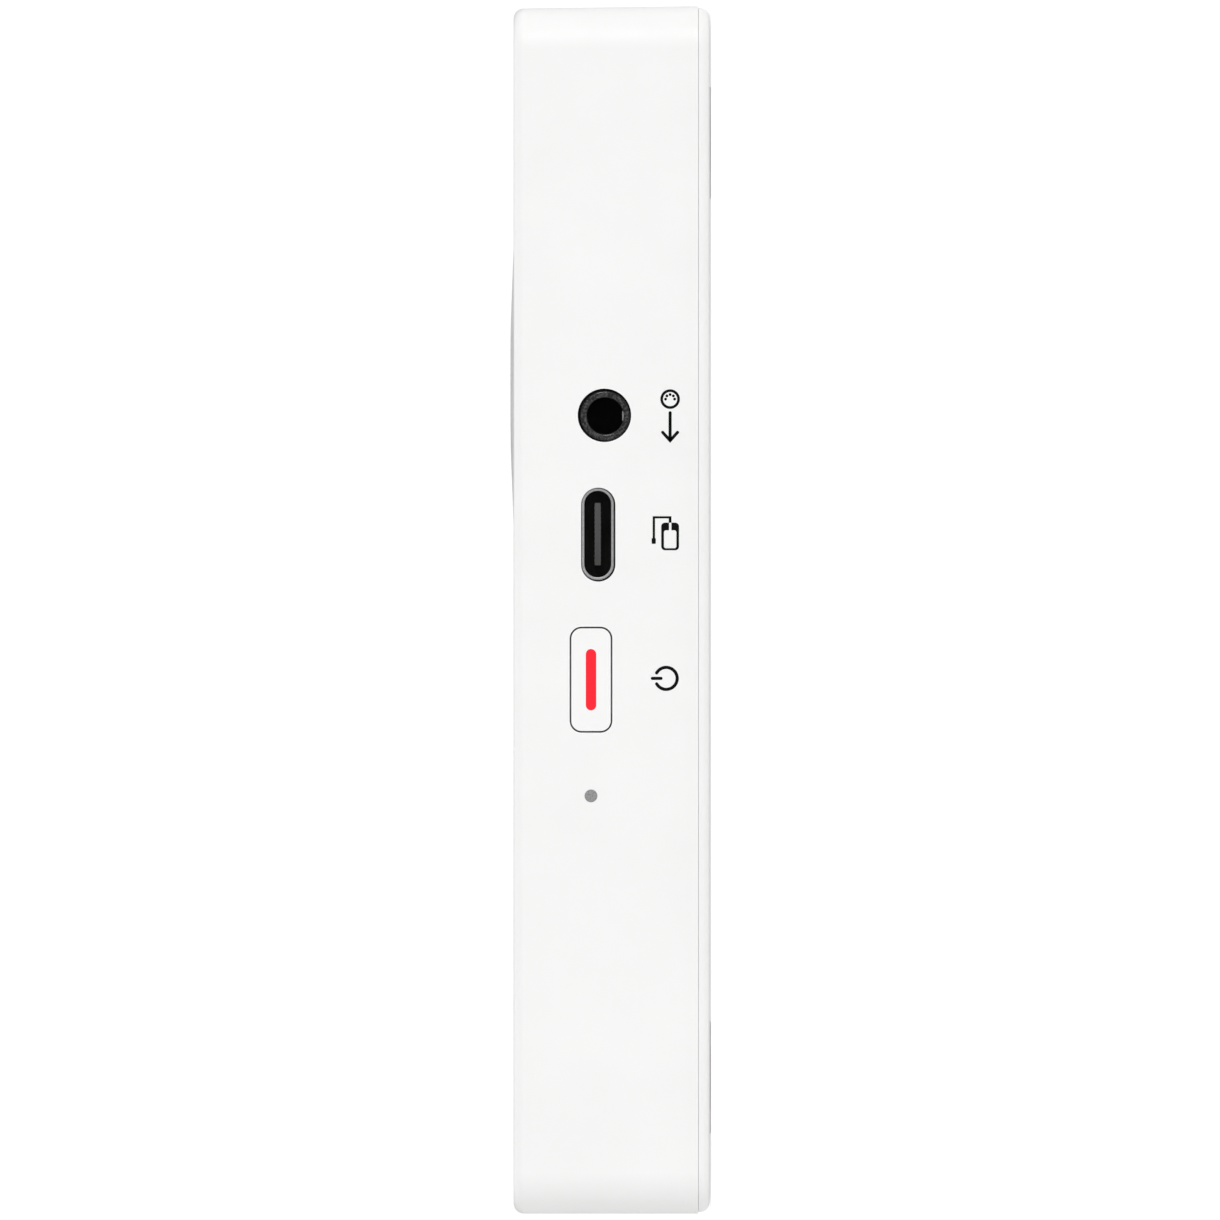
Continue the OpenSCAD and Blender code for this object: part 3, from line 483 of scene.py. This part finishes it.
# An edge sharper than SHARP is rounded, and one still sharper than CREASE is shaded as a corner
SHARP = math.radians(28)
CREASE = math.radians(36)
FLAT = math.radians(0.6)
WELD_DISTANCE = 0.002 * MM


def edge_radius(node):
    if node.startswith("white_key"):
        return KEY_EDGE
    if node.startswith("black_key"):
        return BLACK_EDGE
    if node.endswith("_button") and node != "power_button":
        return BUTTON_EDGE
    return EDGE_RADII.get(node, INNER_EDGE)


def make_normals_group():
    """Geometry nodes that drop the CAD triangles' own normals and keep only real corners sharp."""
    group = bpy.data.node_groups.new("normals_by_angle", "GeometryNodeTree")
    group.interface.new_socket("Geometry", in_out="INPUT", socket_type="NodeSocketGeometry")
    group.interface.new_socket("Geometry", in_out="OUTPUT", socket_type="NodeSocketGeometry")
    start = group.nodes.new("NodeGroupInput")
    end = group.nodes.new("NodeGroupOutput")
    angle = group.nodes.new("GeometryNodeInputMeshEdgeAngle")
    corner = group.nodes.new("FunctionNodeCompare")
    corner.operation = "GREATER_THAN"
    corner.inputs["B"].default_value = CREASE
    reset = group.nodes.new("GeometryNodeSetMeshNormal")
    reset.mode = "SHARPNESS"
    reset.inputs["Remove Custom"].default_value = True
    reset.inputs["Face Sharpness"].default_value = False
    group.links.new(start.outputs[0], reset.inputs["Mesh"])
    group.links.new(angle.outputs["Unsigned Angle"], corner.inputs["A"])
    group.links.new(corner.outputs["Result"], reset.inputs["Edge Sharpness"])
    group.links.new(reset.outputs["Mesh"], end.inputs[0])
    return group


def reset_normals(obj, name):
    step = obj.modifiers.new(name, "NODES")
    step.node_group = NORMALS_GROUP


def round_edges(obj, radius):
    """Joins the CAD triangles back into whole faces, then rounds the sharp edges."""
    weld = obj.modifiers.new("weld", "WELD")
    weld.merge_threshold = WELD_DISTANCE
    reset_normals(obj, "plain_normals")
    flat = obj.modifiers.new("whole_faces", "DECIMATE")
    flat.decimate_type = "DISSOLVE"
    flat.angle_limit = FLAT
    bevel = obj.modifiers.new("edges", "BEVEL")
    bevel.width = radius * MM
    bevel.segments = EDGE_SEGMENTS
    bevel.limit_method = "ANGLE"
    bevel.angle_limit = SHARP
    bevel.use_clamp_overlap = True
    reset_normals(obj, "rounded_normals")
    normals = obj.modifiers.new("weighted_normals", "WEIGHTED_NORMAL")
    normals.keep_sharp = True


def dress_cad_nodes(materials):
    slots = {s["node"]: s["material_slot"] for s in frame["record"]["subparts"]}
    for node, obj in NODES.items():
        round_edges(obj, edge_radius(node))
        obj.data.materials.clear()
        obj.data.materials.append(materials[slots[node]])


# ---- Flat prints ----

PRINT_DEPTH = 0.012 * MM
# Heights of the legends above the underside, in millimetres
LEGEND_Z = 3.84
POWER_LEGEND_Z = 4.22
# How far the legends sit to the rear of the socket's middle, and to the front of the button's
USB_LEGEND_SHIFT = 0.23 * MM
POWER_LEGEND_SHIFT = 0.13 * MM
ARC_STEPS = 32


def arc(center, radius, start, end, steps=ARC_STEPS):
    """Points along a circle, from angle start to angle end in degrees."""
    turn = [math.radians(start + (end - start) * i / steps) for i in range(steps + 1)]
    return [(center[0] + radius * math.cos(a), center[1] + radius * math.sin(a)) for a in turn]


def ring(center, radius, width):
    return [arc(center, radius + width / 2, 0, 360)[:-1], arc(center, radius - width / 2, 0, 360)[:-1]]


def round_box(low, high, r):
    """Outline of a rectangle with round corners."""
    corners = [(high[0] - r, high[1] - r, 0), (low[0] + r, high[1] - r, 90),
               (low[0] + r, low[1] + r, 180), (high[0] - r, low[1] + r, 270)]
    return [p for x, y, a in corners for p in arc((x, y), r, a, a + 90, 6)]


def stroke(points, width):
    """Outline of a line of that width through the points, with mitred corners and round ends."""
    pts = [Vector(p) for p in points]
    left, right = [], []
    for i, p in enumerate(pts):
        before = (p - pts[i - 1]).normalized() if i else (pts[1] - p).normalized()
        after = (pts[i + 1] - p).normalized() if i + 1 < len(pts) else before
        across = Vector((-(before.y + after.y), before.x + after.x)).normalized()
        reach = width / 2 / max(0.3, across.dot(Vector((-after.y, after.x))))
        left.append(p + across * reach)
        right.append(p - across * reach)
    outline = []
    for side, tip, before_tip in ((left, pts[-1], pts[-2]), (reversed(right), pts[0], pts[1])):
        outline += [tuple(p) for p in side]
        heading = math.degrees(math.atan2(tip.y - before_tip.y, tip.x - before_tip.x))
        outline += arc(tip, width / 2, heading + 90, heading - 90, 8)
    return outline


def print_shape(name, outlines, place, material, body):
    """A thin printed layer, outlined in millimetres in its own plane; place carries it to the frame."""
    curve = bpy.data.curves.new(name, "CURVE")
    curve.dimensions = "2D"
    curve.fill_mode = "BOTH"
    curve.extrude = PRINT_DEPTH
    for points in outlines:
        spline = curve.splines.new("POLY")
        spline.points.add(len(points) - 1)
        for point, (x, y) in zip(spline.points, points):
            point.co = (x * MM, y * MM, 0, 1)
        spline.use_cyclic_u = True
    temporary = bpy.data.objects.new(name + "_curve", curve)
    bpy.context.scene.collection.objects.link(temporary)
    bpy.context.view_layer.update()
    view = bpy.context.evaluated_depsgraph_get()
    mesh = bpy.data.meshes.new_from_object(temporary.evaluated_get(view))
    bpy.data.objects.remove(temporary)
    mesh.name = name
    mesh.materials.clear()
    mesh.materials.append(material)
    mesh.transform(place)
    piece = bpy.data.objects.new(name, mesh)
    bpy.context.scene.collection.objects.link(piece)
    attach(piece, body)


def side_plane(from_front, height):
    """The left panel's plane, in which x runs down to the underside and y to the front."""
    origin = Vector((PANEL_X, FRONT_Y + from_front * MM, UNDER_Z + height * MM))
    axes = Matrix(((0, 0, -1), (0, -1, 0), (-1, 0, 0))).to_4x4()
    return Matrix.Translation(origin) @ axes


def side_legends(materials):
    """Generic signs beside the jack, the USB-C socket and the power button."""
    black = materials["black_ink"]
    usb_low, usb_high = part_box("usb_c_shell")
    jack = Vector(MOUNTS["midi_jack"]["pos_m"])
    power_low, power_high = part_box("power_button_bar")

    def sign(name, outlines, y, height):
        place = side_plane((y - FRONT_Y) / MM, height)
        print_shape("legend_" + name, outlines, place, black, "case")

    socket, rim, pin_circle, pin, line = (0, 1.62), 0.82, 0.44, 0.14, 0.3
    pins = [arc(socket, pin_circle, angle, angle, 1)[0] for angle in (0, 45, 90, 135, 180)]
    din = ring(socket, rim, 0.26) + [arc(spot, pin, 0, 360, 12)[:-1] for spot in pins]
    sign("midi_socket", din, jack.y, LEGEND_Z)
    sign("midi_arrow", [stroke([(0, 0.3), (0, -2.3)], line)], jack.y, LEGEND_Z)
    sign("midi_arrow_head", [stroke([(-0.72, -1.6), (0, -2.4), (0.72, -1.6)], line)], jack.y, LEGEND_Z)

    # A device with a dark band and a notch, open at the top, where its lead enters
    beside_usb = (usb_low.y + usb_high.y) / 2 + USB_LEGEND_SHIFT
    notch_left, notch_right, band, half_w, half_h = -0.11, 0.13, 0.6, 0.86, 1.335
    outer = round_box((-half_w, -half_h), (half_w, half_h), 0.36)
    window = round_box((-0.6, -1.14), (0.61, band), 0.2)
    corner = len(outer) // 4
    device = [(notch_left, half_h)] + outer[corner:] + outer[:corner] + [(notch_right, half_h)]
    device += [(notch_right, band)] + list(reversed(window[corner:] + window[:corner]))
    device.append((notch_left, band))
    sign("usb_device", [device], beside_usb, LEGEND_Z)
    half_lead, top, under_top, far, near, end = 0.13, 1.956, 1.75, -1.69, -1.46, -0.2
    lead = [(half_lead, half_h), (half_lead, top), (far, top), (far, end), (near, end), (near, under_top),
            (-half_lead, under_top), (-half_lead, half_h)]
    sign("usb_lead", [lead], beside_usb, LEGEND_Z)
    sign("usb_plug", [round_box((-1.785, -0.72), (-1.385, -0.16), 0.1)], beside_usb, LEGEND_Z)

    # A ring that is open towards the button, and the bar that stands in its opening
    beside_power = (power_low.y + power_high.y) / 2 - POWER_LEGEND_SHIFT
    inner, outer, opening = 0.91, 1.22, 30
    start, end = 180 + opening, 540 - opening
    middle, cap = (inner + outer) / 2, (outer - inner) / 2
    tip_a, tip_b = arc((0, 0), middle, start, end, 1)
    open_ring = arc((0, 0), outer, start, end, 48) + arc(tip_b, cap, end, end + 180, 8)
    open_ring += arc((0, 0), inner, end, start, 48) + arc(tip_a, cap, start + 180, start + 360, 8)
    sign("power_ring", [open_ring], beside_power, POWER_LEGEND_Z)
    sign("power_bar", [stroke([(-1.34, 0), (-0.5, 0)], 0.3)], beside_power, POWER_LEGEND_Z)


def deck_signs(materials):
    """Signs on the deck buttons, each riding on its own button."""
    tri = [(-1.1, -1.4), (1.5, 0), (-1.1, 1.4)]
    signs = {
        "octave_down_button": [[stroke([(-1.2, 0), (1.2, 0)], 0.35)]],
        "octave_up_button": [[stroke([(-1.2, 0), (1.2, 0)], 0.35)], [stroke([(0, -1.2), (0, 1.2)], 0.35)]],
        "arp_button": [[arc((-1.8 + 1.2 * i, -0.9 + 0.6 * i), 0.32, 0, 360, 20)[:-1] for i in range(4)]],
        "hold_button": [ring((0, 0), 1.15, 0.32), [stroke([(-0.45, 0), (0.45, 0)], 0.32)]],
        "play_button": [[tri]],
        "record_button": [[arc((0, 0), 1.2, 0, 360)[:-1]]],
    }
    for node, layers in signs.items():
        low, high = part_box(node)
        middle = (low + high) / 2
        color = materials["bar_red"] if node == "record_button" else materials["grey_ink"]
        for i, outlines in enumerate(layers):
            place = Matrix.Translation((middle.x, middle.y, high.z))
            print_shape(f"sign_{node}_{i + 1}", outlines, place, color, node)


# ---- Detailed pieces ----

# Points of a turned shape closer than this are one point, as where the profile meets the axis
POLE_MERGE = 0.0005 * MM


def finish_piece(name, bm, material, body, sharp=35):
    """Turns a bmesh into a smooth-shaded piece that rides on a body."""
    bmesh.ops.recalc_face_normals(bm, faces=bm.faces)
    mesh = bpy.data.meshes.new(name)
    bm.to_mesh(mesh)
    bm.free()
    mesh.shade_smooth()
    mesh.set_sharp_from_angle(angle=math.radians(sharp))
    mesh.materials.append(material)
    piece = bpy.data.objects.new(name, mesh)
    bpy.context.scene.collection.objects.link(piece)
    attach(piece, body)
    return piece


def lathe(profile, origin, axis, closed, steps=96):
    """Turns a profile of (radius, distance along the axis) points, in metres, round an axis."""
    bm = bmesh.new()
    turn = Vector((0, 0, 1)).rotation_difference(Vector(axis)).to_matrix()
    rings = []
    for radius, along in profile:
        spots = [math.tau * i / steps for i in range(steps)]
        ring_points = [Vector((radius * math.cos(a), radius * math.sin(a), along)) for a in spots]
        rings.append([bm.verts.new(Vector(origin) + turn @ p) for p in ring_points])
    pairs = list(zip(rings, rings[1:])) + ([(rings[-1], rings[0])] if closed else [])
    for first, second in pairs:
        for i in range(steps):
            j = (i + 1) % steps
            bm.faces.new((first[i], first[j], second[j], second[i]))
    bmesh.ops.remove_doubles(bm, verts=bm.verts, dist=POLE_MERGE)
    return bm


def add_block(bm, low, high, radius, segments=2):
    """Adds a box with rounded edges to the bmesh."""
    made = bmesh.ops.create_cube(bm, size=1)
    size, middle = Vector(high) - Vector(low), (Vector(high) + Vector(low)) / 2
    for v in made["verts"]:
        v.co = Vector(c * s for c, s in zip(v.co, size)) + middle
    edges = list(dict.fromkeys(e for v in made["verts"] for e in v.link_edges))
    bmesh.ops.bevel(bm, geom=edges, offset=radius, segments=segments, affect="EDGES", profile=0.5)


def make_jack(materials):
    """The jack's ground nose ring, and the spring that shows inside its bore."""
    nose = Vector(MOUNTS["midi_jack"]["pos_m"])
    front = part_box("midi_jack_body")[0].x
    hole, rim, depth, lip = 1.79 * MM, 2.4 * MM, 0.9 * MM, 0.03 * MM
    slant, fall, land = 0.13 * MM, 0.046 * MM, 0.02 * MM
    profile = [(hole, depth), (hole, fall + land), (hole + land, fall), (hole + land + slant, 0),
               (rim - land - slant, 0), (rim - land, fall), (rim, fall + land), (rim, depth)]
    origin = (front - lip, nose.y, nose.z)
    bm = lathe(profile, origin, (1, 0, 0), True)
    finish_piece("jack_nose_ring", bm, materials["nose_black"], "case", 12)
    bm = bmesh.new()
    start, step, count, half_w = front + 1.1 * MM, 0.5 * MM, 6, 0.5 * MM
    under, over = nose.z - 1.82 * MM, nose.z - 1.78 * MM
    for i in range(count):
        rise = (0.03 + 0.1 * math.sin(math.pi * i / (count - 1))) * MM
        low = (start + i * step, nose.y - half_w, under)
        high = (start + (i + 1) * step, nose.y + half_w, over + rise)
        add_block(bm, low, high, 0.03 * MM)
    finish_piece("jack_spring", bm, materials["connector_steel"], "case")


def make_usb(materials):
    """The USB-C tongue's moulded sleeve and its gold contacts, twelve a side."""
    low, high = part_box("usb_c_core")
    middle = (low + high) / 2
    grow, half_w, half_t, length = 0.012 * MM, 3.025 * MM, 0.3 * MM, 4.9 * MM
    bm = bmesh.new()
    add_block(bm, (low.x - grow, middle.y - half_w - grow, middle.z - half_t - grow),
              (low.x + length, middle.y + half_w + grow, middle.z + half_t + grow), 0.08 * MM, 3)
    finish_piece("usb_tongue", bm, materials["tongue_grey"], "case")
    bm = bmesh.new()
    pitch, width, count = 0.46 * MM, 0.24 * MM, 12
    start, end, proud = 0.8 * MM, 4.6 * MM, 0.02 * MM
    for side in (-1, 1):
        for i in range(count):
            y = middle.y + (i - (count - 1) / 2) * pitch
            z = middle.z + side * (half_t + grow - 0.01 * MM)
            add_block(bm, (low.x + start, y - width / 2, z - proud),
                      (low.x + end, y + width / 2, z + proud), 0.008 * MM, 1)
    finish_piece("usb_contacts", bm, materials["contact_gold"], "case")


def make_pad(materials):
    """The round pad as one smooth dome over its flange, in place of the CAD's straight-sided one."""
    low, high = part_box("touch_pad")
    middle = (low + high) / 2
    rim = 16.9 * MM
    flange, flange_top, edge = (high.x - low.x) / 2, low.z + 0.9 * MM, 0.16 * MM
    rise, crown, steps = high.z - DECK_Z, 3.5 * MM, 20
    profile = [(0, low.z), (flange, low.z), (flange, flange_top), (rim, flange_top), (rim, DECK_Z - edge)]
    profile += [(rim - edge * (1 - math.cos(a)), DECK_Z - edge * (1 - math.sin(a)))
                for a in (math.radians(30), math.radians(60))]
    for i in range(steps + 1):
        r = (rim - edge) * (1 - i / steps)
        t = max(0, (r - crown) / (rim - edge - crown))
        profile.append((r, DECK_Z + rise * (1 + math.cos(math.pi * t)) / 2))
    bm = lathe(profile, (middle.x, middle.y, 0), (0, 0, 1), False, 144)
    pad = finish_piece("press_pad_dome", bm, materials["pad_white"], "touch_pad", 40)
    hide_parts("touch_pad")


# Parts on the main board, in millimetres from its left front corner: x, y, width, depth, height, legs a side
CHIPS = [(18, 47, 9, 9, 1.4, 12), (18, 26, 4, 5, 1.5, 4), (9, 44, 2.9, 1.6, 1.1, 3), (28, 60, 5, 4, 1.4, 8)]
CANS = [(24, 10, 14, 10, 2.0), (11, 60, 4, 4, 1.9), (28, 49, 3.2, 2.5, 0.8)]
# Rows of chip capacitors: x and y of the first, step along x, number, and how far every third one is set back
CAPACITOR_ROWS = [(6, 52, 2.2, 4, 1.4), (14, 36, 2.4, 6, 0), (12, 20, 2.4, 7, 0), (22, 56, 2.1, 4, 0)]


def make_board_parts(materials):
    """Chips, screening cans and chip capacitors on the main board."""
    low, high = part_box("main_board")
    top = high.z
    bodies, legs, cans, small = bmesh.new(), bmesh.new(), bmesh.new(), bmesh.new()
    for x, y, w, d, h, pins in CHIPS:
        spot = Vector((low.x + x * MM, low.y + y * MM, top))
        half = Vector((w, d, 0)) * MM / 2
        lift, height = Vector((0, 0, 0.1 * MM)), Vector((0, 0, h * MM))
        add_block(bodies, spot - half + lift, spot + half + height, 0.12 * MM)
        pitch = (d * MM - 0.8 * MM) / pins
        for i in range(pins):
            along = (i - (pins - 1) / 2) * pitch
            for side in (-1, 1):
                foot = spot + Vector((side * (half.x + 0.3 * MM), along, 0))
                reach = Vector((0.45 * MM, pitch * 0.22, 0))
                add_block(legs, foot - reach, foot + reach + Vector((0, 0, 0.22 * MM)), 0.05 * MM, 1)
    for x, y, w, d, h in CANS:
        spot = Vector((low.x + x * MM, low.y + y * MM, top))
        half = Vector((w, d, 0)) * MM / 2
        add_block(cans, spot - half, spot + half + Vector((0, 0, h * MM)), 0.3 * MM, 3)
    half, height = Vector((0.4, 0.8, 0)) * MM, Vector((0, 0, 0.8)) * MM
    for x, y, step, count, back in CAPACITOR_ROWS:
        for i in range(count):
            spot = Vector((low.x + (x + step * i) * MM, low.y + (y + (i % 3) * back) * MM, top))
            add_block(small, spot - half, spot + half + height, 0.08 * MM, 1)
    finish_piece("board_chips", bodies, materials["switch_black"], "case")
    finish_piece("board_chip_legs", legs, materials["connector_steel"], "case")
    finish_piece("board_cans", cans, materials["screw_steel"], "case")
    finish_piece("board_capacitors", small, materials["foam_tape"], "case")


make_camera()
make_stage()
NORMALS_GROUP = make_normals_group()
MATERIALS = make_materials()
dress_cad_nodes(MATERIALS)
side_legends(MATERIALS)
deck_signs(MATERIALS)
make_jack(MATERIALS)
make_usb(MATERIALS)
make_pad(MATERIALS)
make_board_parts(MATERIALS)
